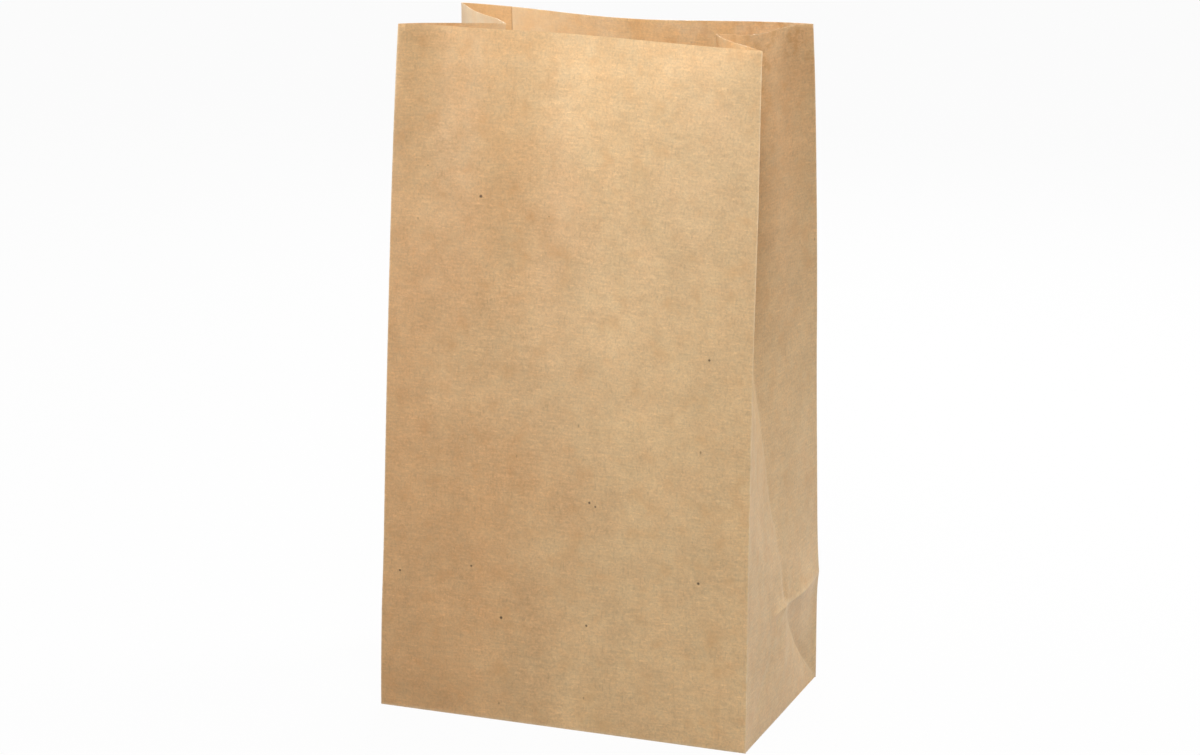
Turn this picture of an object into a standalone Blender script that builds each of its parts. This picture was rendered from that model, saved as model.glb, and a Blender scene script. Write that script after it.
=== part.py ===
"""A kraft paper bag with a block bottom and side gussets, standing open and empty.

One sheet of paper, folded and glued. Paper bends but doesn't stretch, so each panel keeps its cut width and
each vertical strip keeps its cut length: the depth of the gussets and the dips of the rim follow from how far
the mouth has closed. Metres, +Z up, front towards -Y, with the middle of the base at the origin.
"""

import math

import bmesh
import bpy

# Cut and fold sizes of the sheet
FACE_WIDTH = 0.150
SIDE_DEPTH = 0.090
WALL_HEIGHT = 0.270
PAPER = 0.00012
LAP_WIDTH = 0.023
FLAP_PAST_CENTRE = 0.015

# How the open bag stands: how far each upright fold has leaned in at the rim, and how the lean grows
FRONT_LEFT_LEAN = 0.0175
FRONT_RIGHT_LEAN = 0.0150
BACK_RIGHT_LEAN = 0.0147
BACK_LEFT_LEAN = 0.0085
LEAN_START = 0.050
LEFT_LEAN_POWER = 1.15
RIGHT_LEAN_POWER = 2.05

# How the faces hollow and the gussets curl as the mouth closes
FRONT_HOLLOW = 0.0120
HOLLOW_MIDDLE = 0.43
HOLLOW_LEFT = 0.14
HOLLOW_RIGHT = 0.205
FRONT_PINCH = 0.0052
PINCH_MIDDLE = 0.12
PINCH_WIDTH = 0.06
PINCH_START = 0.150
HELD_LEFT = 0.05
HELD_RIGHT = 0.08
BACK_HOLLOW = 0.0085
BOW_POWER = 1.6
GUSSET_ARCH = 0.0049
GUSSET_WAVE = 0.0032
CURL_START = 0.120
RIM_CUT_LOW = 0.0023
CUT_START = 0.150

# The relief that the folded bottom leaves on the sides
APEX_BULGE = 0.0022
BULGE_FADE = 0.030
CREASE_RIDGE = 0.0006

# Fineness of the folded sheet, and the angle from which a fold shows as a sharp edge
HALF_GUSSET_STRIPS = 8
FACE_STRIPS = 16
LAP_STRIPS = 3
UPPER_ROWS = 20
WIDTH_SAMPLES = 60
FOLD_ANGLE = math.radians(12)

# Finish of plain brown kraft paper
KRAFT_COLOUR = (0.597, 0.407, 0.219, 1.0)
KRAFT_ROUGHNESS = 0.85

# Sizes that follow from the folds
HALF_SIDE = SIDE_DEPTH / 2
APEX_HEIGHT = HALF_SIDE
FLAP_LENGTH = HALF_SIDE + FLAP_PAST_CENTRE

# Layers of paper in the bottom, counted from the ground up, with the wings in the one under the side flaps
OUTER_FLAP_LAYER = 0
INNER_FLAP_LAYER = 1
SIDE_FLAP_LAYER = 3
TOP_LAYER = 4


def clear_scene():
    for item in list(bpy.data.objects):
        bpy.data.objects.remove(item)


def new_collection(name):
    collection = bpy.data.collections.new(name)
    bpy.context.scene.collection.children.link(collection)
    return collection


def kraft_material():
    material = bpy.data.materials.new("brown_kraft")
    material.use_nodes = True
    shader = material.node_tree.nodes["Principled BSDF"]
    shader.inputs["Base Color"].default_value = KRAFT_COLOUR
    shader.inputs["Roughness"].default_value = KRAFT_ROUGHNESS
    shader.inputs["Metallic"].default_value = 0.0
    material.diffuse_color = KRAFT_COLOUR
    return material


def between(start, end, share):
    return start + (end - start) * share


def smooth(value, low, high):
    """0 up to low and 1 from high, with a soft step between."""
    share = min(1.0, max(0.0, (value - low) / (high - low)))
    return share * share * (3 - 2 * share)


def grown(height, start, power):
    """0 below the start height, growing to 1 at the rim."""
    share = (height - start) / (WALL_HEIGHT - start)
    return max(0.0, share) ** power


def hump(share, middle, width):
    return math.exp(-(((share - middle) / width) ** 2) / 2)


def front_bow(height):
    """How far the front stands out at each share of its width: a hollow, and a pinch near its left fold."""
    hollow = FRONT_HOLLOW * grown(height, LEAN_START, BOW_POWER)
    pinch = FRONT_PINCH * grown(height, PINCH_START, BOW_POWER)

    def bow(share):
        wide = HOLLOW_LEFT if share < HOLLOW_MIDDLE else HOLLOW_RIGHT
        held = smooth(share, 0.0, HELD_LEFT) * smooth(1 - share, 0.0, HELD_RIGHT)
        sunk = hollow * hump(share, HOLLOW_MIDDLE, wide) + pinch * hump(share, PINCH_MIDDLE, PINCH_WIDTH)
        return -held * sunk

    return bow


def back_bow(height):
    hollow = BACK_HOLLOW * grown(height, LEAN_START, BOW_POWER)
    return lambda share: -hollow * math.sin(math.pi * share) ** 2


def gusset_bow(height, side, end):
    """Only the back half of the right gusset curls; the other halves stay flat."""
    curl = grown(height, CURL_START, BOW_POWER) if side > 0 and end > 0 else 0.0

    def bow(share):
        return curl * (GUSSET_ARCH * math.sin(math.pi * share) - GUSSET_WAVE * math.sin(2 * math.pi * share))

    return bow


def along_chord(width, bow):
    """How far along its chord each sample of a bowed strip lies, so that the paper keeps its width."""
    step = width / WIDTH_SAMPLES
    bows = [bow(sample / WIDTH_SAMPLES) for sample in range(WIDTH_SAMPLES + 1)]
    reached = [0.0]
    for low, high in zip(bows, bows[1:]):
        reached.append(reached[-1] + math.sqrt(max(0.0, step**2 - (high - low) ** 2)))
    return reached


def strip_points(start, end, width, bow, shares, outwards):
    """Points of a bowed strip at the given shares of its width, from its start fold to its end fold."""
    reached = along_chord(width, bow)
    length = math.dist(start, end)
    run_x, run_y = (end[0] - start[0]) / length, (end[1] - start[1]) / length
    points = []
    for share in shares:
        sample = min(int(share * WIDTH_SAMPLES), WIDTH_SAMPLES - 1)
        place = between(reached[sample], reached[sample + 1], share * WIDTH_SAMPLES - sample)
        place *= length / reached[-1]
        off = bow(share) * outwards
        points.append((start[0] + run_x * place + run_y * off, start[1] + run_y * place - run_x * off))
    return points


def fold_depths(height, end):
    """The y of the left and the right upright fold of the front (end -1) or the back (end 1)."""
    left, right = (FRONT_LEFT_LEAN, FRONT_RIGHT_LEAN) if end < 0 else (BACK_LEFT_LEAN, BACK_RIGHT_LEAN)
    left *= grown(height, LEAN_START, LEFT_LEAN_POWER)
    right *= grown(height, LEAN_START, RIGHT_LEAN_POWER)
    return end * (HALF_SIDE - left), end * (HALF_SIDE - right)


def fold_point(height, side, end):
    """Where an upright fold stands, from the width that its bowed face still spans."""
    bow = front_bow(height) if end < 0 else back_bow(height)
    left, right = fold_depths(height, end)
    reach = math.sqrt(along_chord(FACE_WIDTH, bow)[-1] ** 2 - (right - left) ** 2) / 2
    return side * reach, right if side > 0 else left


def crease_point(height, side):
    """The centre crease of a gusset, which lies half a gusset's paper from both of its folds."""
    near, far = fold_point(height, side, -1), fold_point(height, side, 1)
    near_half, far_half = (along_chord(HALF_SIDE, gusset_bow(height, side, end))[-1] for end in (-1, 1))
    length = math.dist(near, far)
    along = (near_half**2 - far_half**2 + length**2) / (2 * length)
    sunk = math.sqrt(max(0.0, near_half**2 - along**2))
    run = ((far[0] - near[0]) / length, (far[1] - near[1]) / length)
    return near[0] + run[0] * along - side * run[1] * sunk, near[1] + run[1] * along + side * run[0] * sunk


def side_bulge(height, from_edge):
    """The shallow hip roof that the bottom creases leave on each side, with its top at the apex."""
    if height <= APEX_HEIGHT:
        return APEX_BULGE * min(from_edge, height / APEX_HEIGHT)
    return APEX_BULGE * from_edge * max(0.0, 1 - (height - APEX_HEIGHT) / BULGE_FADE)


def face_section(height, shares, end):
    """Points of the front (end -1) or the back (end 1) at one height, from left to right."""
    bow = front_bow(height) if end < 0 else back_bow(height)
    left, right = fold_point(height, -1, end), fold_point(height, 1, end)
    ridge = CREASE_RIDGE if end > 0 and math.isclose(height, APEX_HEIGHT) else 0.0
    return [(x, y + end * ridge) for x, y in strip_points(left, right, FACE_WIDTH, bow, shares, -end)]


def gusset_half_section(height, side, end):
    """Points of one half of a gusset, from its upright fold to its centre crease, both included.

    side is -1 on the left and 1 on the right, and end is -1 for the front half and 1 for the back half.
    """
    shares = [strip / HALF_GUSSET_STRIPS for strip in range(HALF_GUSSET_STRIPS + 1)]
    bow = gusset_bow(height, side, end)
    start, crease = fold_point(height, side, end), crease_point(height, side)
    ridge = CREASE_RIDGE if end > 0 and math.isclose(height, APEX_HEIGHT) else 0.0
    points = strip_points(start, crease, HALF_SIDE, bow, shares, -side * end)
    return [
        (x + side * (side_bulge(height, share) + ridge * (1 - share)), y)
        for share, (x, y) in zip(shares, points)
    ]


def face_shares():
    return [strip / FACE_STRIPS for strip in range(FACE_STRIPS + 1)]


def back_shares():
    """Places across the back panel, with two close together at the cut edge of the glued lap."""
    lap = LAP_WIDTH / FACE_WIDTH
    cut = PAPER / 2 / FACE_WIDTH
    shares = [lap * strip / LAP_STRIPS for strip in range(LAP_STRIPS + 1)]
    shares.append(lap + cut)
    open_strips = FACE_STRIPS - LAP_STRIPS
    shares += [between(lap + cut, 1.0, strip / open_strips) for strip in range(1, open_strips + 1)]
    return shares


def section(height):
    """The whole ring at one height, counterclockwise from the front left edge, as (x, y) points."""
    front = face_section(height, face_shares(), -1)
    right_front = gusset_half_section(height, 1, -1)
    right_back = gusset_half_section(height, 1, 1)[::-1]
    back = face_section(height, back_shares(), 1)[::-1]
    left_back = gusset_half_section(height, -1, 1)
    left_front = gusset_half_section(height, -1, -1)[::-1]
    return front[:-1] + right_front[:-1] + right_back[:-1] + back[:-1] + left_back[:-1] + left_front[:-1]


def row_heights():
    """Heights along the paper: as many rows as strips below the apex, so that the diagonals meet the grid."""
    lower = [APEX_HEIGHT * row / HALF_GUSSET_STRIPS for row in range(HALF_GUSSET_STRIPS)]
    upper = [between(APEX_HEIGHT, WALL_HEIGHT, row / UPPER_ROWS) for row in range(UPPER_ROWS + 1)]
    return lower + upper


def ring_layout():
    """For each place round the ring: its bottom layer, whether it is in the lap, and how low its rim is cut."""
    front = [INNER_FLAP_LAYER] * (FACE_STRIPS + 1)
    gusset = [SIDE_FLAP_LAYER] * (2 * HALF_GUSSET_STRIPS - 1)
    back = [OUTER_FLAP_LAYER] * len(back_shares())
    layers = front + gusset + back + gusset
    doubled_from = len(front) + len(gusset) + len(back) - (LAP_STRIPS + 1)
    doubled = [doubled_from <= place < doubled_from + LAP_STRIPS + 1 for place in range(len(layers))]
    half_gusset = [strip / HALF_GUSSET_STRIPS for strip in range(1, HALF_GUSSET_STRIPS)]
    low_back = [1 - share for share in back_shares()[::-1]]
    low_left = [1 - from_fold for from_fold in half_gusset]
    low = [0.0] * (len(front) + len(gusset)) + low_back + low_left
    low += [0.0] * (len(layers) - len(low))
    return layers, doubled, low


def rising_cells():
    """Whether each cell of a ring is split from its lower near corner, to follow the diagonal creases."""
    face = [True] * FACE_STRIPS
    back = [True] * (len(back_shares()) - 1)
    half = HALF_GUSSET_STRIPS
    return face + [True] * half + [False] * half + back + [True] * half + [False] * half


def folded_sheet(collection, material):
    """The walls as one open surface, given its paper thickness inwards."""
    layers, doubled, low = ring_layout()
    heights = row_heights()
    sections = [section(height) for height in heights]
    mesh = bpy.data.meshes.new("paper_bag")
    build = bmesh.new()
    rows = [[build.verts.new((x, y, layer * PAPER)) for (x, y), layer in zip(sections[0], layers)]]
    levels = [0.0] * len(layers)
    for row in range(1, len(heights)):
        along = heights[row] - heights[row - 1]
        cut = RIM_CUT_LOW * smooth(heights[row], CUT_START, WALL_HEIGHT)
        ring = []
        for place, (x, y) in enumerate(sections[row]):
            moved = math.dist((x, y), sections[row - 1][place])
            levels[place] += math.sqrt(along**2 - moved**2)
            ring.append(build.verts.new((x, y, levels[place] - cut * low[place])))
        rows.append(ring)
    rising = rising_cells()
    for lower, upper in zip(rows, rows[1:]):
        for place, from_near in enumerate(rising):
            after = (place + 1) % len(rising)
            near, far = lower[place], lower[after]
            near_top, far_top = upper[place], upper[after]
            if from_near:
                build.faces.new((near, far, far_top))
                build.faces.new((near, far_top, near_top))
            else:
                build.faces.new((near, far, near_top))
                build.faces.new((far, far_top, near_top))
    build.to_mesh(mesh)
    build.free()
    mesh.materials.append(material)
    bag = bpy.data.objects.new("paper_bag", mesh)
    collection.objects.link(bag)

    single, double = 0.5, 1.0
    thickness = bag.vertex_groups.new(name="layers_of_paper")
    for vertex in range(len(mesh.vertices)):
        weight = double if doubled[vertex % len(doubled)] else single
        thickness.add([vertex], weight, "REPLACE")
    wall = bag.modifiers.new("paper_thickness", "SOLIDIFY")
    wall.thickness = PAPER * double / single
    wall.offset = -1.0
    wall.use_even_offset = True
    wall.vertex_group = thickness.name
    return bag


def leaf(name, outline, low_layer, high_layer, collection):
    """A flat leaf of the bottom: its outline, between two layers of paper."""
    mesh = bpy.data.meshes.new(name)
    build = bmesh.new()
    base = build.faces.new([build.verts.new((x, y, low_layer * PAPER)) for x, y in outline])
    raised = bmesh.ops.extrude_face_region(build, geom=[base])["geom"]
    top = [item for item in raised if isinstance(item, bmesh.types.BMVert)]
    for vertex in top:
        vertex.co.z = high_layer * PAPER
    bmesh.ops.recalc_face_normals(build, faces=build.faces)
    build.to_mesh(mesh)
    build.free()
    item = bpy.data.objects.new(name, mesh)
    item.hide_render = True
    item.display_type = "WIRE"
    collection.objects.link(item)


def bottom_leaves(collection):
    """The glued bottom, each leaf reaching the middle of the wall that it is folded from."""
    edge_x = FACE_WIDTH / 2 - PAPER / 2
    edge_y = HALF_SIDE - PAPER / 2
    tip_x = FACE_WIDTH / 2 - FLAP_LENGTH
    tip_y = HALF_SIDE - FLAP_LENGTH
    for name, end, layer in (("outer_flap", 1, OUTER_FLAP_LAYER), ("inner_flap", -1, INNER_FLAP_LAYER)):
        fold = [(-edge_x, end * edge_y), (edge_x, end * edge_y)]
        outline = fold + [(tip_x, end * tip_y), (-tip_x, end * tip_y)]
        leaf(name, outline, layer, layer + 1, collection)
        for side in (-1, 1):
            wing = [(side * edge_x, end * edge_y), (side * tip_x, end * edge_y), (side * tip_x, end * tip_y)]
            leaf(f"{name}_wing", wing, layer + 1, SIDE_FLAP_LAYER, collection)
    for side in (-1, 1):
        corners = ((edge_x, -edge_y), (edge_x, edge_y), (tip_x, edge_y), (tip_x, -edge_y))
        tab = [(side * x, y) for x, y in corners]
        leaf("side_flap", tab, SIDE_FLAP_LAYER, TOP_LAYER, collection)


def main():
    clear_scene()
    parts = new_collection("paper_bag_parts")
    bottom = new_collection("bottom_leaves")
    bag = folded_sheet(parts, kraft_material())
    bottom_leaves(bottom)
    glue = bag.modifiers.new("glued_bottom", "BOOLEAN")
    glue.operation = "UNION"
    glue.operand_type = "COLLECTION"
    glue.collection = bottom
    glue.solver = "EXACT"
    bag.data.shade_smooth()
    bag.data.set_sharp_from_angle(angle=FOLD_ANGLE)


main()
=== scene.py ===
import math

import bmesh
import bpy
import numpy as np
from mathutils import Matrix, Vector, noise


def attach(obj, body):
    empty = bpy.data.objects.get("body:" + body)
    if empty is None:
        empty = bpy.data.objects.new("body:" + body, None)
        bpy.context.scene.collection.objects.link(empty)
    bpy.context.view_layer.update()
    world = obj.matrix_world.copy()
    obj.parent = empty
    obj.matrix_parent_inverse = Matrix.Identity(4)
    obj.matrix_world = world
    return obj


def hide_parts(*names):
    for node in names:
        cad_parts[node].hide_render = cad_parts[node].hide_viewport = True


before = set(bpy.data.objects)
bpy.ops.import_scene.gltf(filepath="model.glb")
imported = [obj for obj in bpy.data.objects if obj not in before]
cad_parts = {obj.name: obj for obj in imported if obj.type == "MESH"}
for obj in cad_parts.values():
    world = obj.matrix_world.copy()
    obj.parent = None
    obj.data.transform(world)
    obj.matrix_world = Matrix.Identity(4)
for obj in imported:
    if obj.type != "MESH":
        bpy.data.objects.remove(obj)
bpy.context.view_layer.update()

# The tube of paper
# One sheet of brown kraft paper, wrapped into a tube with a glued lap at the left of the back, and creased
# for two side gussets and a block bottom. It starts here as the straight tube, cut along every crease.
FACE_WIDTH = 0.150
SIDE_DEPTH = 0.090
WALL_HEIGHT = 0.270
LAP_WIDTH = 0.023
PAPER = 0.00012
HALF_FACE = FACE_WIDTH / 2
HALF_SIDE = SIDE_DEPTH / 2
APEX_HEIGHT = HALF_SIDE
FACE_STRIPS = 50
SIDE_STRIPS = 60
ROWS_BELOW_APEX = SIDE_STRIPS // 2
ROWS_ABOVE_APEX = 101
FOLD_MARGIN = 0.0006
NEAR = 1e-5


def pick(kind, wanted):
    """Selects, in edit mode, the faces or edges that pass a test of their middle and their direction."""
    bpy.ops.mesh.select_mode(type=kind)
    bpy.ops.mesh.select_all(action="DESELECT")
    mesh = bmesh.from_edit_mesh(bpy.context.edit_object.data)
    if kind == "FACE":
        for face in mesh.faces:
            face.select_set(wanted(face.calc_center_median(), face.normal))
    else:
        for edge in mesh.edges:
            start, end = (vertex.co for vertex in edge.verts)
            edge.select_set(wanted((start + end) / 2, (end - start).normalized()))
    bmesh.update_edit_mesh(bpy.context.edit_object.data)


bpy.ops.object.select_all(action="DESELECT")
bpy.ops.mesh.primitive_cube_add(
    size=1, location=(0, 0, WALL_HEIGHT / 2), scale=(FACE_WIDTH, SIDE_DEPTH, WALL_HEIGHT)
)
bag = bpy.context.active_object
bag.name = "folded_paper_bag"
bpy.ops.object.transform_apply(location=True, rotation=True, scale=True)
bpy.ops.object.mode_set(mode="EDIT")
pick("FACE", lambda middle, normal: abs(normal.z) > 0.5)
bpy.ops.mesh.delete(type="FACE")
bpy.ops.mesh.select_all(action="SELECT")
bpy.ops.mesh.bisect(plane_co=(0, 0, APEX_HEIGHT), plane_no=(0, 0, 1))
pick("EDGE", lambda middle, along: abs(along.x) > 0.5)
bpy.ops.mesh.subdivide(number_cuts=FACE_STRIPS - 1)
pick("EDGE", lambda middle, along: abs(along.y) > 0.5)
bpy.ops.mesh.subdivide(number_cuts=SIDE_STRIPS - 1)
pick("EDGE", lambda middle, along: abs(along.z) > 0.5 and middle.z < APEX_HEIGHT)
bpy.ops.mesh.subdivide(number_cuts=ROWS_BELOW_APEX - 1)
pick("EDGE", lambda middle, along: abs(along.z) > 0.5 and middle.z > APEX_HEIGHT)
bpy.ops.mesh.subdivide(number_cuts=ROWS_ABOVE_APEX - 1)

# The lap's cut edge, as two lines half a paper thickness apart
for lap_edge in (LAP_WIDTH, LAP_WIDTH + PAPER / 2):
    pick("FACE", lambda middle, normal: middle.y > HALF_SIDE - NEAR)
    bpy.ops.mesh.bisect(plane_co=(lap_edge - HALF_FACE, 0, 0), plane_no=(1, 0, 0), threshold=NEAR)

# Lines close beside the folds, which keep each fold's wear and painted highlight narrow
for sign in (-1, 1):
    beside_x = sign * (HALF_FACE - FOLD_MARGIN)
    beside_y = sign * (HALF_SIDE - FOLD_MARGIN)
    bpy.ops.mesh.select_all(action="SELECT")
    bpy.ops.mesh.bisect(plane_co=(beside_x, 0, 0), plane_no=(1, 0, 0), threshold=NEAR)
    pick("FACE", lambda middle, normal: abs(normal.x) > 0.5)
    bpy.ops.mesh.bisect(plane_co=(0, beside_y, 0), plane_no=(0, 1, 0), threshold=NEAR)

# The creases that rise from the bottom corners to the apex of each gusset
for end in (-1, 1):
    pick("FACE", lambda middle, normal: abs(normal.x) > 0.5 and middle.z < APEX_HEIGHT and middle.y * end > 0)
    bpy.ops.mesh.bisect(plane_co=(0, end * HALF_SIDE, 0), plane_no=(0, end, 1), threshold=NEAR)
bpy.ops.object.mode_set(mode="OBJECT")

# How the paper hangs
# Opened by hand and stood up, the bag springs back towards flat. The four upright folds lean together, the
# faces bow in, and the gussets fold inwards. Paper doesn't stretch, so each strip keeps its width and length.

# How far each upright fold leans in at the rim, the height where that starts, and the power it grows by
RIM_CLOSING = {
    ("front", "left"): (0.0175, 0.040, 1.1),
    ("front", "right"): (0.0158, 0.020, 2.95),
    ("back", "right"): (0.0146, 0.020, 2.95),
    ("back", "left"): (0.0085, 0.055, 1.3),
}

# How far each upright fold is tucked in sideways, half way up and at the rim
RIM_TUCK = {
    ("front", "left"): (0.0000, 0.0000),
    ("front", "right"): (0.0000, 0.0010),
    ("back", "right"): (0.0012, 0.0008),
    ("back", "left"): (0.0005, 0.0009),
}
TUCK_HEIGHTS = (0.050, 0.140)
RIM_TUCK_START = 0.200

# How far each upright fold spreads at its foot
FOOT_SPREAD = {
    ("front", "left"): 0.0012,
    ("front", "right"): 0.0000,
    ("back", "right"): 0.0007,
    ("back", "left"): 0.0012,
}
FOOT_HEIGHT = 0.070

# The hollow of the front with the pinch at its left, and the hollow of the back. Places and widths across the
# panel are shares of its width.
FRONT_HOLLOW = 0.0122
HOLLOW_MIDDLE = 0.43
HOLLOW_LEFT = 0.14
HOLLOW_RIGHT = 0.205
FRONT_PINCH = 0.0052
PINCH_MIDDLE = 0.12
PINCH_WIDTH = 0.06
HELD_LEFT = 0.05
HELD_RIGHT = 0.08
BACK_HOLLOW = 0.0085
BACK_CREASE = 0.0008
BACK_CREASE_WIDTH = 0.009
BOW_POWER = 1.6
HOLLOW_START = 0.050
PINCH_START = 0.150
BACK_HOLLOW_START = 0.060

# How far each half of a gusset arches and waves
GUSSET_BOW_START = 0.120
GUSSET_BOW = {
    ("front", "left"): (-0.0040, 0),
    ("front", "right"): (-0.0030, 0),
    ("back", "right"): (0.0062, -0.0036),
    ("back", "left"): (0.0022, 0),
}

# What the folded bottom leaves in the gussets: the apex and the level crease stand out, the back folds have a
# nib, and the diagonals sink in
APEX_OUT = 0.0020
APEX_OUT_START = -0.030
APEX_OUT_FULL = APEX_HEIGHT + 0.004
APEX_OUT_FADE = (0.058, 0.090)
CORNER_NIB = 0.0010
NIB_SIZE = 0.006
CREASE_RIDGE = 0.0018
CREASE_RIDGE_WIDTH = 0.006
BACK_DIAGONAL = 0.0028
FRONT_DIAGONAL = 0.0006
WIDTH_ABOVE_DIAGONAL = 0.011
WIDTH_BELOW_DIAGONAL = 0.006
DIAGONAL_EASE = (0.006, 0.005)
RIM_CUT_LOW = 0.0029
RIM_CUT_START = 0.150
SAMPLES = np.linspace(0, 1, 401)


def smooth(value, low, high):
    """0 up to low and 1 from high, with a soft step between."""
    share = np.clip((value - low) / (high - low), 0, 1)
    return share * share * (3 - 2 * share)


def grown(height, start, power):
    """0 up to the start height, rising to 1 at the rim."""
    return np.clip((height - start) / (WALL_HEIGHT - start), 0, None) ** power


def closing(end, side, height):
    amount, start, power = RIM_CLOSING[end, side]
    return amount * grown(height, start, power)


def straightened(width, bow):
    """How far along its chord each sample of a bowed strip lies, so that the paper keeps its width."""
    slope = np.gradient(bow, SAMPLES, axis=1)
    step = np.sqrt(np.clip(width**2 - slope**2, 0, None))
    along = np.cumsum((step[:, 1:] + step[:, :-1]) / 2, axis=1) / (len(SAMPLES) - 1)
    return np.hstack([np.zeros((len(bow), 1)), along])


def at_shares(rows, shares):
    """The value of each row of samples at the given shares of its width."""
    return np.array([np.interp(shares, SAMPLES, row) for row in rows])


def laid(start, end, along, off, shares, outwards):
    """Points of a strip, row by row, at the given shares of its width and as far off its chord as told."""
    span = end - start
    length = np.linalg.norm(span, axis=1, keepdims=True)
    across = np.stack([span[:, 1], -span[:, 0]], axis=1) / length * outwards
    place = at_shares(along / along[:, -1:], shares)
    return start[:, None, :] + span[:, None, :] * place[..., None] + across[:, None, :] * off[..., None]


tube = np.empty(len(bag.data.vertices) * 3)
bag.data.vertices.foreach_get("co", tube)
tube = np.round(tube.reshape(-1, 3), 6)
heights, row_of = np.unique(tube[:, 2], return_inverse=True)
places, column_of = np.unique(tube[:, :2], axis=0, return_inverse=True)
column_of = column_of.reshape(-1)
up = heights[:, None]

hollow_width = np.where(SAMPLES < HOLLOW_MIDDLE, HOLLOW_LEFT, HOLLOW_RIGHT)
hollow = FRONT_HOLLOW * np.exp(-(((SAMPLES - HOLLOW_MIDDLE) / hollow_width) ** 2) / 2)
pinch = FRONT_PINCH * np.exp(-(((SAMPLES - PINCH_MIDDLE) / PINCH_WIDTH) ** 2) / 2)
held = smooth(SAMPLES, 0, HELD_LEFT) * smooth(1 - SAMPLES, 0, HELD_RIGHT)
deeper = hollow * grown(up, HOLLOW_START, BOW_POWER)
front_bow = -held * (deeper + pinch * grown(up, PINCH_START, BOW_POWER))
arched = np.sin(math.pi * SAMPLES) ** 2
back_bow = -BACK_HOLLOW * arched * grown(up, BACK_HOLLOW_START, BOW_POWER)
back_bow = back_bow - BACK_CREASE * arched * np.exp(-abs(up - APEX_HEIGHT) / BACK_CREASE_WIDTH)
gusset_bow = {}
for half, (arch, wave) in GUSSET_BOW.items():
    bow = arch * np.sin(math.pi * SAMPLES) + wave * np.sin(2 * math.pi * SAMPLES)
    gusset_bow[half] = bow * grown(up, GUSSET_BOW_START, BOW_POWER)
front_along = straightened(FACE_WIDTH, front_bow)
back_along = straightened(FACE_WIDTH, back_bow)
gusset_along = {half: straightened(HALF_SIDE, bow) for half, bow in gusset_bow.items()}

# The upright folds, with the small nib where the crease of the bottom crosses the back ones
from_apex = np.where(heights < APEX_HEIGHT, APEX_HEIGHT - heights, (heights - APEX_HEIGHT) / 2)
nib = CORNER_NIB * np.exp(-from_apex / NIB_SIZE)
folds = {}
for end, y_sign, along in (("front", -1, front_along), ("back", 1, back_along)):
    depths = {side: y_sign * (HALF_SIDE - closing(end, side, heights)) for side in ("left", "right")}
    reach = np.sqrt(along[:, -1] ** 2 - (depths["right"] - depths["left"]) ** 2) / 2
    for side, x_sign in (("left", -1), ("right", 1)):
        middle, rim = RIM_TUCK[end, side]
        near_top = smooth(heights, RIM_TUCK_START, WALL_HEIGHT)
        tuck = middle * smooth(heights, *TUCK_HEIGHTS) + (rim - middle) * near_top
        spread = FOOT_SPREAD[end, side] * (1 - smooth(heights, 0, FOOT_HEIGHT))
        out = reach - tuck + spread + (nib if end == "back" else 0)
        folds[end, side] = np.stack([x_sign * out, depths[side]], axis=1)

# The centre crease of each gusset lies half a gusset's paper from both of its folds
apex_out = APEX_OUT * smooth(heights, APEX_OUT_START, APEX_OUT_FULL) * (1 - smooth(heights, *APEX_OUT_FADE))
apex_out = apex_out - apex_out[0]
creases = {}
for side, sign in (("left", -1), ("right", 1)):
    near, far = folds["front", side], folds["back", side]
    span = far - near
    length = np.linalg.norm(span, axis=1)
    near_half = gusset_along["front", side][:, -1]
    far_half = gusset_along["back", side][:, -1]
    along = (near_half**2 - far_half**2 + length**2) / (2 * length)
    sunk = np.sqrt(np.clip(near_half**2 - along**2, 0, None)) - apex_out
    inwards = np.stack([-span[:, 1], span[:, 0]], axis=1) / length[:, None] * sign
    creases[side] = near + span * (along / length)[:, None] + inwards * sunk[:, None]


def relief(back_half, from_fold, height):
    """How far half a gusset stands out, or sinks in below 0, where the bottom was once folded up flat."""
    away = HALF_SIDE * (1 - from_fold)
    inner = smooth(away, 0, DIAGONAL_EASE[0]) * smooth(from_fold * HALF_SIDE, 0, DIAGONAL_EASE[1])
    place = np.clip((height - away + HALF_SIDE) / SIDE_DEPTH, 0, 1)
    above = (away + height - HALF_SIDE) / math.sqrt(2)
    width = np.where(above > 0, WIDTH_ABOVE_DIAGONAL, WIDTH_BELOW_DIAGONAL)
    diagonal = np.exp(-abs(above) / width) * np.sin(math.pi * place) * inner
    if not back_half:
        return -FRONT_DIAGONAL * diagonal
    ridge = np.sin(math.pi * from_fold) * np.exp(-abs(height - APEX_HEIGHT) / CREASE_RIDGE_WIDTH)
    return CREASE_RIDGE * ridge - BACK_DIAGONAL * diagonal


plan = np.zeros((len(heights), len(places), 2))
for end, y_sign, along, bow in (("front", -1, front_along, front_bow), ("back", 1, back_along, back_bow)):
    picked = np.flatnonzero(abs(places[:, 1] - y_sign * HALF_SIDE) < NEAR)
    shares = places[picked, 0] / FACE_WIDTH + 0.5
    off = at_shares(bow, shares)
    plan[:, picked] = laid(folds[end, "left"], folds[end, "right"], along, off, shares, -y_sign)
for side, x_sign in (("left", -1), ("right", 1)):
    for end, y_sign in (("front", -1), ("back", 1)):
        on_half = (abs(places[:, 0] - x_sign * HALF_FACE) < NEAR) & (places[:, 1] * y_sign >= -NEAR)
        picked = np.flatnonzero(on_half)
        shares = 1 - abs(places[picked, 1]) / HALF_SIDE
        off = at_shares(gusset_bow[end, side], shares) + relief(end == "back", shares[None, :], up)
        plan[:, picked] = laid(
            folds[end, side], creases[side], gusset_along[end, side], off, shares, -x_sign * y_sign
        )

# Each strip keeps its length, so it rises less where it leans
moved = np.linalg.norm(np.diff(plan, axis=0), axis=2)
steps = np.sqrt(np.clip(np.diff(heights)[:, None] ** 2 - moved**2, 0, None))
levels = np.vstack([np.zeros(len(places)), np.cumsum(steps, axis=0)])

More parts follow.
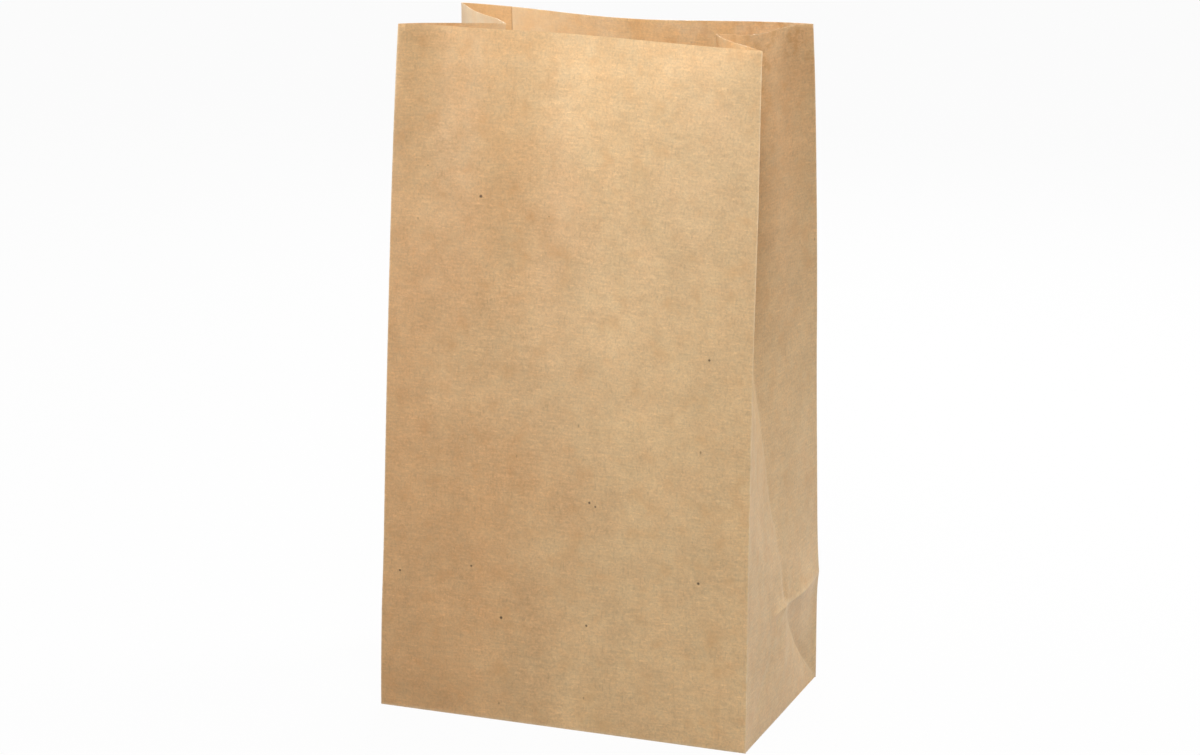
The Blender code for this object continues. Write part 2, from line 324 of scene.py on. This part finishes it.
# The lowest row lies on its own layer of the folded bottom
OUTER_FLAP_LAYER = 0
INNER_FLAP_LAYER = 1
SIDE_FLAP_LAYER = 3
TOP_LAYER = 4
levels[0] = PAPER * np.where(
    places[:, 1] < NEAR - HALF_SIDE, INNER_FLAP_LAYER,
    np.where(places[:, 1] > HALF_SIDE - NEAR, OUTER_FLAP_LAYER, SIDE_FLAP_LAYER),
)

# The rim was cut a little low at the back left corner
along_back = np.where(places[:, 1] > HALF_SIDE - NEAR, 0.5 - places[:, 0] / FACE_WIDTH, 0)
across_left = np.where(places[:, 0] < NEAR - HALF_FACE, np.clip(places[:, 1] / HALF_SIDE, 0, 1), 0)
cut_low = RIM_CUT_LOW * np.maximum(along_back, across_left)
levels = levels - cut_low * smooth(heights, RIM_CUT_START, WALL_HEIGHT)[:, None]

hung = np.empty_like(tube)
hung[:, :2] = plan[row_of, column_of]
hung[:, 2] = levels[row_of, column_of]
bag.data.vertices.foreach_set("co", hung.ravel())
bag.data.update()

# Soft dents from handling, which fade towards the folds and the rim
DENT_DEPTH = 0.00035
DENT_SIZE = 0.045
FINE_DENT_DEPTH = 0.00007
FINE_DENT_SIZE = 0.012
CALM_EDGE = 0.020
CALM_RIM_START = 0.235
CALM_RIM = 0.7
outwards = np.empty(len(tube) * 3)
bag.data.vertices.foreach_get("normal", outwards)
outwards = outwards.reshape(-1, 3)
on_face = abs(tube[:, 1]) > HALF_SIDE - NEAR
on_side = abs(tube[:, 0]) > HALF_FACE - NEAR
from_fold = np.where(on_face, HALF_FACE - abs(tube[:, 0]), HALF_SIDE - abs(tube[:, 1]))
calm = smooth(from_fold, 0, CALM_EDGE) * smooth(tube[:, 2], 0, CALM_EDGE)
calm = calm * (1 - CALM_RIM * smooth(tube[:, 2], CALM_RIM_START, WALL_HEIGHT))
dents = DENT_DEPTH * np.array([noise.noise(Vector(point) / DENT_SIZE) for point in tube])
dents = dents + FINE_DENT_DEPTH * np.array([noise.noise(Vector(point) / FINE_DENT_SIZE) for point in tube])

# Faint creases from handling, and the wrinkles that the folds leave around the apex of each gusset. Each has
# its two ends, across and up the panel, then how far it stands out and how wide it is.
FRONT_CREASES = (
    ((-0.055, 0.166), (-0.038, 0.142), 0.00022, 0.0032),
    ((-0.038, 0.068), (-0.030, 0.069), 0.00028, 0.0028),
    ((-0.051, 0.046), (-0.036, 0.048), -0.00020, 0.0030),
)
APEX_WRINKLES = (
    ((0.000, 0.0450), (-0.013, 0.0455), 0.00045, 0.0015),
    ((0.000, 0.0440), (-0.011, 0.0330), 0.00045, 0.0015),
    ((0.001, 0.0480), (0.002, 0.0580), -0.00040, 0.0015),
    ((-0.004, 0.0510), (-0.012, 0.0570), -0.00025, 0.0020),
)


def beside_line(points, start, end):
    """How far each point lies from the line between two points."""
    along = np.subtract(end, start)
    share = np.clip((points - start) @ along / (along @ along), 0, 1)
    return np.linalg.norm(points - start - share[:, None] * along, axis=1)


handled = np.zeros(len(tube))
for start, end, depth, width in FRONT_CREASES:
    away = beside_line(tube[:, (0, 2)], start, end)
    handled = handled + depth * np.exp(-((away / width) ** 2)) * (tube[:, 1] < NEAR - HALF_SIDE)
for start, end, depth, width in APEX_WRINKLES:
    away = beside_line(tube[:, (1, 2)], start, end)
    handled = handled + depth * np.exp(-((away / width) ** 2)) * on_side
hung = hung + outwards * (dents * calm + handled)[:, None]
bag.data.vertices.foreach_set("co", hung.ravel())
bag.data.update()

# Where the folds are scuffed and get a painted highlight, where the paper is creased, where the lap is glued
# over, and the lap's cut edge, which gets a painted shadow
in_lap = (tube[:, 1] > HALF_SIDE - NEAR) & (tube[:, 0] < LAP_WIDTH - HALF_FACE + NEAR)
low = tube[:, 2] < APEX_HEIGHT + NEAR
on_centre = on_side & (abs(tube[:, 1]) < NEAR) & (tube[:, 2] > APEX_HEIGHT - NEAR)
on_diagonal = on_side & low & (abs(tube[:, 2] + abs(tube[:, 1]) - HALF_SIDE) < 2 * NEAR)
on_level = (abs(tube[:, 2] - APEX_HEIGHT) < NEAR) & (tube[:, 1] > -NEAR)
for name, chosen in (
    ("scuffed_fold_highlight", (on_face & on_side) | (tube[:, 2] < NEAR)),
    ("pressed_crease", on_centre | on_diagonal | on_level),
    ("glued_lap", in_lap),
    ("lap_edge", abs(tube[:, 0] - LAP_WIDTH + HALF_FACE - PAPER / 4) < PAPER),
):
    mark = bag.data.attributes.new(name, "FLOAT", "POINT")
    mark.data.foreach_set("value", chosen.astype(np.float32))

# The thickness of the paper, twice as much in the lap
bpy.ops.object.select_all(action="DESELECT")
bag.select_set(True)
bpy.context.view_layer.objects.active = bag
layers = bag.vertex_groups.new(name="layers_of_paper")
layers.add(np.flatnonzero(~in_lap).tolist(), 0.5, "REPLACE")
layers.add(np.flatnonzero(in_lap).tolist(), 1.0, "REPLACE")
wall = bag.modifiers.new("paper", "SOLIDIFY")
wall.thickness = 2 * PAPER
wall.offset = -1
wall.use_even_offset = True
wall.vertex_group = layers.name
bpy.ops.object.modifier_apply(modifier=wall.name)

# The folded bottom
# Two flaps from the front and the back with their corner wings, and two side flaps innermost, all glued flat.
# Each leaf fills one or two layers of paper and reaches the middle of the wall it is folded from.
FLAP_PAST_CENTRE = 0.015
FLAP_LENGTH = HALF_SIDE + FLAP_PAST_CENTRE
EDGE_X = HALF_FACE - PAPER / 2
EDGE_Y = HALF_SIDE - PAPER / 2


def leaf(name, middle, size, low, high, cuts):
    """A flat leaf between two layers, cut from a thin block by slanting planes."""
    bpy.ops.object.select_all(action="DESELECT")
    bpy.ops.mesh.primitive_cube_add(
        size=1, location=(*middle, (low + high) * PAPER / 2), scale=(*size, (high - low) * PAPER)
    )
    item = bpy.context.active_object
    item.name = name
    bpy.ops.object.transform_apply(location=True, rotation=True, scale=True)
    bpy.ops.object.mode_set(mode="EDIT")
    for point, direction in cuts:
        bpy.ops.mesh.select_all(action="SELECT")
        bpy.ops.mesh.bisect(
            plane_co=(*point, 0), plane_no=(*direction, 0), clear_outer=True, use_fill=True, threshold=NEAR
        )
    bpy.ops.object.mode_set(mode="OBJECT")
    for vertex in item.data.vertices:
        side = "left" if vertex.co.x < 0 else "right"
        share = vertex.co.y / SIDE_DEPTH + 0.5
        spread = FOOT_SPREAD["front", side] * (1 - share) + FOOT_SPREAD["back", side] * share
        vertex.co.x += spread * vertex.co.x / HALF_FACE
    return item


leaves = []
for name, end, layer in (("outer_flap", 1, OUTER_FLAP_LAYER), ("inner_flap", -1, INNER_FLAP_LAYER)):
    slants = [((side * EDGE_X, end * EDGE_Y), (side, -end)) for side in (-1, 1)]
    middle = (0, end * (EDGE_Y - FLAP_LENGTH / 2 + PAPER / 4))
    leaves.append(leaf(name, middle, (2 * EDGE_X, FLAP_LENGTH - PAPER / 2), layer, layer + 1, slants))
    for side in (-1, 1):
        middle = (side * (EDGE_X - FLAP_LENGTH / 2), end * (EDGE_Y - FLAP_LENGTH / 2))
        diagonal = [((side * EDGE_X, end * EDGE_Y), (side, -end))]
        wing = leaf("wing", middle, (FLAP_LENGTH, FLAP_LENGTH), layer + 1, SIDE_FLAP_LAYER, diagonal)
        leaves.append(wing)
for side in (-1, 1):
    middle = (side * (EDGE_X - FLAP_LENGTH / 2), 0)
    leaves.append(leaf("side_flap", middle, (FLAP_LENGTH, 2 * EDGE_Y), SIDE_FLAP_LAYER, TOP_LAYER, []))
bottom = bpy.data.collections.new("bottom_leaves")
bpy.context.scene.collection.children.link(bottom)
for item in leaves:
    for holder in list(item.users_collection):
        holder.objects.unlink(item)
    bottom.objects.link(item)
bpy.ops.object.select_all(action="DESELECT")
bag.select_set(True)
bpy.context.view_layer.objects.active = bag
glue = bag.modifiers.new("glued_bottom", "BOOLEAN")
glue.operation = "UNION"
glue.operand_type = "COLLECTION"
glue.collection = bottom
glue.solver = "EXACT"
bpy.ops.object.modifier_apply(modifier=glue.name)
for item in leaves:
    bpy.data.objects.remove(item)
bpy.data.collections.remove(bottom)

# Smooth paper between crisp creases
SMOOTH_UP_TO = math.radians(20)
CRISP = 0.99
bpy.ops.object.shade_smooth_by_angle(angle=SMOOTH_UP_TO)
pressed = np.empty(len(bag.data.vertices), dtype=np.float32)
bag.data.attributes["pressed_crease"].data.foreach_get("value", pressed)
for edge in bag.data.edges:
    if min(pressed[edge.vertices[0]], pressed[edge.vertices[1]]) > CRISP:
        edge.use_edge_sharp = True

# The kraft
# Unbleached pulp, cloudy where fibres have bunched, finely ribbed across by the paper machine, with dark
# shives here and there. It is thin enough for daylight to show through as a warm, patchy glow.
KRAFT = (0.775, 0.552, 0.298)
# Cloudy mottling, and also the painted shade of the glued lap
MOTTLED_AND_LAP_SHADE = (0.700, 0.420, 0.175)
# Painted shade in blotches near the back's rim
BLOTCH_SHADE = (0.560, 0.300, 0.095)
# Painted shade for the front's left and the right gusset's back half
PAINTED_SHADE_TONE = (0.90, 0.79, 0.70)
# Rubbed paper, and also painted light near the back's rim and a painted highlight along the folds
SCUFFED_AND_LIT = (0.86, 0.72, 0.52)
SHIVE = (0.20, 0.105, 0.045)
DARK_SHIVE = (0.07, 0.035, 0.014)
# Painted shadow along the lap's cut edge
LAP_EDGE_SHADOW = (0.42, 0.24, 0.11)
GLOW_THICK = (0.97, 0.80, 0.58)
GLOW_THIN = (1.0, 0.97, 0.86)
LIGHT_THROUGH = 0.27

# Scales of the paper's noise, in waves per metre, and how some of it is stretched and turned
BUNCH_SCALE = 75.0
PATCH_SCALE = 21.0
GRAIN_SCALE = 1150.0
RIB_SCALE = (210, 210, 1250)
FIBRE_SCALE = (1400, 1400, 260)
FIBRE_TURN = (0.35, 0.2, 0)
CROSSING_SCALE = (300, 300, 1500)
CROSSING_TURN = (0.15, 0.1, 0.4)
MOTTLE_SCALE = 120.0
UNEVEN_SCALE = 14.0
BLOTCH_SHADE_SCALE = 230.0
SHIVE_SCALE = 120.0
SHIVE_STRETCH = (1, 1, 0.55)
SHIVE_TURN = (0.2, 0.5, 0)
SCUFF_SCALE = 420.0
RUB_SCALE = 300.0
THIN_SCALE = 130.0

# Where the zones of painted shade, painted light and painted blotchy shade begin and end
FRONT_LEFT_X = (-0.055, 0.015)
UNEVEN_BY = 0.035
FRONT_Y = (-0.014, -0.004)
FRONT_TOP_Z = (0.200, 0.262)
GUSSET_X = (0.040, 0.046)
GUSSET_BACK_Y = (-0.002, 0.004)
GUSSET_END_Y = (0.025, 0.034)
GUSSET_TOP_Z = (0.130, 0.240)
RIM_Z = (0.222, 0.258)
BACK_Y = (-0.014, 0.004)
PAINTED_LIGHT_X = (-0.045, 0.0)
BLOTCH_SHADE_X = (-0.015, 0.060)

# How strong the marks are, how deep the surface's relief is, and how rough it is
MOST_MOTTLED = 0.40
MOST_PAINTED_LIGHT = 0.60
MOST_BLOTCH_SHADE = 0.62
LAP_SHADE = 0.30
LAP_THICKER = 0.55
BUMP_DEPTH = 0.000022
GRAIN_RELIEF = 0.5
RIB_RELIEF = 0.55
BUNCH_RELIEF = 1.6
ROUGHNESS = (0.48, 0.40)
kraft = bpy.data.materials.new("brown_kraft")
kraft.use_nodes = True
kraft.node_tree.nodes.clear()


def add(kind, inputs=None, **options):
    """Adds a node to the kraft and feeds its inputs with values or with other nodes' outputs."""
    item = kraft.node_tree.nodes.new(kind)
    for name, value in options.items():
        setattr(item, name, value)
    for name, value in (inputs or {}).items():
        if isinstance(value, bpy.types.NodeSocket):
            kraft.node_tree.links.new(value, item.inputs[name])
        else:
            item.inputs[name].default_value = value
    return item


def cloud(spot, scale, detail=3.0, roughness=0.55):
    values = {"Vector": spot, "Scale": scale, "Detail": detail, "Roughness": roughness}
    return add("ShaderNodeTexNoise", values).outputs[0]


def ranged(value, low, high, to_low, to_high):
    values = {"Value": value, "From Min": low, "From Max": high, "To Min": to_low, "To Max": to_high}
    return add("ShaderNodeMapRange", values, clamp=True).outputs["Result"]


def joined(operation, first, second):
    return add("ShaderNodeMath", {0: first, 1: second}, operation=operation).outputs[0]


def blended(amount, first, second):
    inputs = {0: amount, 6: first, 7: second}
    return add("ShaderNodeMix", inputs, data_type="RGBA").outputs[2]


def stretched(spot, turn, scale):
    return add("ShaderNodeMapping", {"Vector": spot, "Rotation": turn, "Scale": scale}).outputs[0]


def marked(name):
    return add("ShaderNodeAttribute", attribute_name=name).outputs["Fac"]


spot = add("ShaderNodeTexCoord").outputs["Object"]
bunches = cloud(spot, BUNCH_SCALE, 4.0)
patches = cloud(spot, PATCH_SCALE, 2.0)
grain = cloud(spot, GRAIN_SCALE, 2.0, 0.7)
ribs = cloud(stretched(spot, (0, 0, 0), RIB_SCALE), 1.0, 2.0)
fibres = cloud(stretched(spot, FIBRE_TURN, FIBRE_SCALE), 1.0, 2.0)
crossing = cloud(stretched(spot, CROSSING_TURN, CROSSING_SCALE), 1.0, 2.0)

# How each noise changes the tone: from which to which value, and the tone at each of the two
tone = 1.0
for texture, low_noise, high_noise, low_tone, high_tone in (
    (bunches, 0.34, 0.66, 0.95, 1.04),
    (patches, 0.35, 0.65, 0.96, 1.03),
    (grain, 0.32, 0.68, 0.87, 1.13),
    (ribs, 0.32, 0.68, 0.93, 1.07),
    (fibres, 0.60, 0.70, 1.00, 0.86),
    (crossing, 0.60, 0.70, 1.00, 1.14),
):
    tone = joined("MULTIPLY", tone, ranged(texture, low_noise, high_noise, low_tone, high_tone))
pulp = add("ShaderNodeVectorMath", {0: KRAFT, "Scale": tone}, operation="SCALE").outputs[0]
mottled = ranged(cloud(spot, MOTTLE_SCALE), 0.54, 0.72, 0, MOST_MOTTLED)
pulp = blended(mottled, pulp, (*MOTTLED_AND_LAP_SHADE, 1))

# Painted shade: the front is darker and browner towards its left, and the right gusset's back half towards
# its
# rim. Painted light: the back's rim is paler at the left. Painted shade: near the back's rim, darker blotches
# of the paper's cloudy formation, strongest at the right, where light coming through the paper shows it up.
parts = add("ShaderNodeSeparateXYZ", {"Vector": spot}).outputs
uneven = joined("ADD", parts["X"], ranged(cloud(spot, UNEVEN_SCALE), 0.3, 0.7, -UNEVEN_BY, UNEVEN_BY))
shaded_front_left = joined("MULTIPLY", ranged(uneven, *FRONT_LEFT_X, 1, 0), ranged(parts["Y"], *FRONT_Y, 1, 0))
shaded_front_left = joined("MULTIPLY", shaded_front_left, ranged(parts["Z"], *FRONT_TOP_Z, 1, 0.55))
# Painted shade on the right gusset's back half, darker towards its rim
back_half = joined("MULTIPLY", ranged(parts["X"], *GUSSET_X, 0, 1), ranged(parts["Y"], *GUSSET_BACK_Y, 0, 1))
back_half = joined("MULTIPLY", back_half, ranged(parts["Y"], *GUSSET_END_Y, 1, 0.4))
back_half = joined("MULTIPLY", back_half, ranged(parts["Z"], *GUSSET_TOP_Z, 0, 0.85))
painted_shade = joined("MAXIMUM", shaded_front_left, back_half)
shade_tinted = add("ShaderNodeVectorMath", {0: pulp, 1: PAINTED_SHADE_TONE}, operation="MULTIPLY").outputs[0]
pulp = blended(painted_shade, pulp, shade_tinted)
near_rim = joined("MULTIPLY", ranged(parts["Z"], *RIM_Z, 0, 1), ranged(parts["Y"], *BACK_Y, 0, 1))
off_lap = ranged(marked("glued_lap"), 0, 1, 1, 0)
# Painted light: near the rim, the back is painted paler towards the left, off the glued lap
painted_light = joined("MULTIPLY", ranged(parts["X"], *PAINTED_LIGHT_X, MOST_PAINTED_LIGHT, 0), off_lap)
pulp = blended(joined("MULTIPLY", painted_light, near_rim), pulp, (*SCUFFED_AND_LIT, 1))
# Painted shade: the paper's cloudy formation, which light coming through shows up near the back's rim,
# painted as darker blotches that are strongest at the right
blotch_shade = ranged(cloud(spot, BLOTCH_SHADE_SCALE, 4.0, 0.65), 0.53, 0.64, 0, MOST_BLOTCH_SHADE)
blotch_shade = joined("MULTIPLY", joined("MULTIPLY", blotch_shade, near_rim), ranged(parts["X"], *BLOTCH_SHADE_X, 0.10, 1))
pulp = blended(blotch_shade, pulp, (*BLOTCH_SHADE, 1))

# Small dark shives, at the points of a cell pattern, where a point's luck decides how dark it is
around = stretched(spot, SHIVE_TURN, SHIVE_STRETCH)
cells = add("ShaderNodeTexVoronoi", {"Vector": around, "Scale": SHIVE_SCALE})
luck = add("ShaderNodeSeparateColor", {"Color": cells.outputs["Color"]}).outputs[0]
shives = ranged(cells.outputs["Distance"], 0.022, 0.055, 1, 0)
shives = joined("MULTIPLY", shives, ranged(luck, 0.45, 0.95, 0, 0.85))
pulp = blended(shives, pulp, (*SHIVE, 1))

# The larger shives of the front panel: across, up and radius
FRONT_SHIVES = (
    (-0.0384, 0.2058, 0.00050), (-0.0604, 0.2159, 0.00030), (0.0573, 0.1533, 0.00034),
    (-0.0115, 0.1997, 0.00030), (0.0102, 0.0925, 0.00036), (0.0127, 0.0912, 0.00032),
    (0.0551, 0.0662, 0.00040), (-0.0252, 0.0425, 0.00044), (-0.0380, 0.0618, 0.00032),
    (-0.0679, 0.0565, 0.00034), (0.0100, 0.0436, 0.00036),
)
FRONT_ONLY = 0.02
flattened = stretched(spot, (0, 0, 0), (1, FRONT_ONLY, 1))
for across, height, radius in FRONT_SHIVES:
    centre = (across, -HALF_SIDE * FRONT_ONLY, height)
    away = add("ShaderNodeVectorMath", {0: flattened, 1: centre}, operation="DISTANCE").outputs["Value"]
    pulp = blended(ranged(away, radius * 0.9, radius * 1.6, 0.95, 0), pulp, (*DARK_SHIVE, 1))

# Lighter where folds and creases are rubbed, with a painted highlight along the folds where their rounded
# edges catch the light. Painted shade in the lap, and a painted shadow along its cut edge.
worn_and_lit_folds = ranged(cloud(spot, SCUFF_SCALE), 0.35, 0.65, 0.10, 0.75)
pulp = blended(joined("MULTIPLY", marked("scuffed_fold_highlight"), worn_and_lit_folds), pulp, (*SCUFFED_AND_LIT, 1))
worn_creases = ranged(cloud(spot, RUB_SCALE), 0.35, 0.65, 0.10, 0.40)
pulp = blended(joined("MULTIPLY", marked("pressed_crease"), worn_creases), pulp, (*SCUFFED_AND_LIT, 1))
# Painted shade: the lap is painted darker, for the lesser light that comes through its two layers
pulp = blended(joined("MULTIPLY", marked("glued_lap"), LAP_SHADE), pulp, (*MOTTLED_AND_LAP_SHADE, 1))
# Painted shadow: a dark line where the lap's cut edge shades the sheet beside it
pulp = blended(ranged(marked("lap_edge"), 0.82, 1.0, 0, 0.80), pulp, (*LAP_EDGE_SHADOW, 1))

# The surface, and the light that comes through it
height_map = joined("ADD", joined("MULTIPLY", grain, GRAIN_RELIEF), joined("MULTIPLY", ribs, RIB_RELIEF))
height_map = joined("ADD", height_map, joined("MULTIPLY", bunches, BUNCH_RELIEF))
surface = add("ShaderNodeBump", {"Strength": 1.0, "Distance": BUMP_DEPTH, "Height": height_map}).outputs[0]
thin = ranged(cloud(spot, THIN_SCALE, 4.0, 0.62), 0.36, 0.66, 0, 1)
single = blended(thin, (*GLOW_THICK, 1), (*GLOW_THIN, 1))
glowing = blended(joined("MULTIPLY", marked("glued_lap"), LAP_THICKER), single, (*GLOW_THICK, 1))
sheet = add("ShaderNodeBsdfPrincipled", {
    "Base Color": pulp, "Roughness": ranged(bunches, 0.3, 0.7, *ROUGHNESS), "Normal": surface,
})
through = add("ShaderNodeBsdfTranslucent", {"Color": glowing, "Normal": surface})
paper = add("ShaderNodeMixShader", {0: LIGHT_THROUGH, 1: sheet.outputs[0], 2: through.outputs[0]})
add("ShaderNodeOutputMaterial", {"Surface": paper.outputs[0]})
bag.data.materials.append(kraft)
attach(bag, "root")
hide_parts("paper_bag")

# Light, floor and camera
# A pale floor that fades into a white surround, five soft lamps, and a camera that looks from the front right
# and a little above. The back lamp shines through the paper.
CAMERA_TURN = math.radians(19.993)
CAMERA_LIFT = math.radians(15.838)
CAMERA_ROLL = math.radians(0.244)
CAMERA_AWAY = 1.4377
CAMERA_ASIDE = (-0.00108, -0.00973)
CAMERA_LENS = 110.856
AIM_HEIGHT = 0.140
FLOOR_SIZE = 12.0

backwards = Vector((
    math.sin(CAMERA_TURN) * math.cos(CAMERA_LIFT),
    -math.cos(CAMERA_TURN) * math.cos(CAMERA_LIFT),
    math.sin(CAMERA_LIFT),
))
rightwards = Vector((math.cos(CAMERA_TURN), math.sin(CAMERA_TURN), 0))
upwards = backwards.cross(rightwards)
eye = Vector((0, 0, AIM_HEIGHT)) + backwards * CAMERA_AWAY
eye += rightwards * CAMERA_ASIDE[0] + upwards * CAMERA_ASIDE[1]
camera = bpy.data.objects.new("camera", bpy.data.cameras.new("camera"))
turned = Matrix((rightwards, upwards, backwards)).transposed() @ Matrix.Rotation(CAMERA_ROLL, 3, "Z")
camera.matrix_world = Matrix.Translation(eye) @ turned.to_4x4()
camera.data.lens = CAMERA_LENS
camera.data.sensor_width = 36.0
camera.data.clip_end = 50.0
bpy.context.scene.collection.objects.link(camera)
bpy.context.scene.camera = camera
bpy.context.scene.view_settings.view_transform = "Standard"

bpy.ops.object.select_all(action="DESELECT")
bpy.ops.mesh.primitive_plane_add(size=FLOOR_SIZE, location=(0, 0, 0))
floor = bpy.context.active_object
floor.name = "pale_floor"
FLOOR_WHITE = (0.60, 0.60, 0.60, 1)
FLOOR_GLOW = 0.96
SEEN_WHITE = 1.0
ROOM_LIGHT = 0.22


def seen_directly(nodes, links):
    """1 for rays that come from the camera, off gloss or through glass."""
    path = nodes.new("ShaderNodeLightPath")
    total = nodes.new("ShaderNodeMath")
    total.operation = "MAXIMUM"
    links.new(path.outputs["Is Camera Ray"], total.inputs[0])
    links.new(path.outputs["Is Glossy Ray"], total.inputs[1])
    last = nodes.new("ShaderNodeMath")
    last.operation = "MAXIMUM"
    links.new(total.outputs[0], last.inputs[0])
    links.new(path.outputs["Is Transmission Ray"], last.inputs[1])
    return last.outputs[0]


paint = bpy.data.materials.new("floor_paint")
paint.use_nodes = True
nodes, links = paint.node_tree.nodes, paint.node_tree.links
nodes.clear()
output = nodes.new("ShaderNodeOutputMaterial")
matt = nodes.new("ShaderNodeBsdfDiffuse")
matt.inputs["Color"].default_value = FLOOR_WHITE
glow = nodes.new("ShaderNodeEmission")
mix = nodes.new("ShaderNodeMixShader")
share = nodes.new("ShaderNodeMath")
share.operation = "MULTIPLY"
share.inputs[1].default_value = FLOOR_GLOW
links.new(seen_directly(nodes, links), share.inputs[0])
links.new(share.outputs[0], mix.inputs["Fac"])
links.new(matt.outputs[0], mix.inputs[1])
links.new(glow.outputs[0], mix.inputs[2])
links.new(mix.outputs[0], output.inputs["Surface"])
floor.data.materials.append(paint)

world = bpy.data.worlds.new("white_surround")
bpy.context.scene.world = world
world.use_nodes = True
nodes, links = world.node_tree.nodes, world.node_tree.links
nodes.clear()
output = nodes.new("ShaderNodeOutputWorld")
room = nodes.new("ShaderNodeBackground")
strength = nodes.new("ShaderNodeMapRange")
strength.inputs["To Min"].default_value = ROOM_LIGHT
strength.inputs["To Max"].default_value = SEEN_WHITE
links.new(seen_directly(nodes, links), strength.inputs["Value"])
links.new(strength.outputs["Result"], room.inputs["Strength"])
links.new(room.outputs[0], output.inputs["Surface"])

# The place, aim, size and power of each lamp
LAMPS = {
    "key_lamp": ((0.12, -0.42, 0.78), (0.06, 0, 0.25), 0.30, 3.3),
    "sheen_lamp": ((-0.36, -0.74, 0.26), (0.07, 0, 0.25), 0.18, 1.10),
    "left_lamp": ((-0.60, -0.16, 0.66), (0, 0, 0.26), 0.30, 1.9),
    "side_lamp": ((0.50, 0.50, 0.70), (0.06, 0, 0.12), 0.30, 5.3),
    "back_lamp": ((-0.10, 0.75, 0.62), (0, 0.02, 0.24), 0.45, 5.4),
}
for name, (place, aim, size, power) in LAMPS.items():
    lamp = bpy.data.objects.new(name, bpy.data.lights.new(name, "AREA"))
    lamp.data.size = size
    lamp.data.energy = power
    lamp.location = place
    lamp.rotation_euler = (Vector(aim) - Vector(place)).to_track_quat("-Z", "Y").to_euler()
    bpy.context.scene.collection.objects.link(lamp)
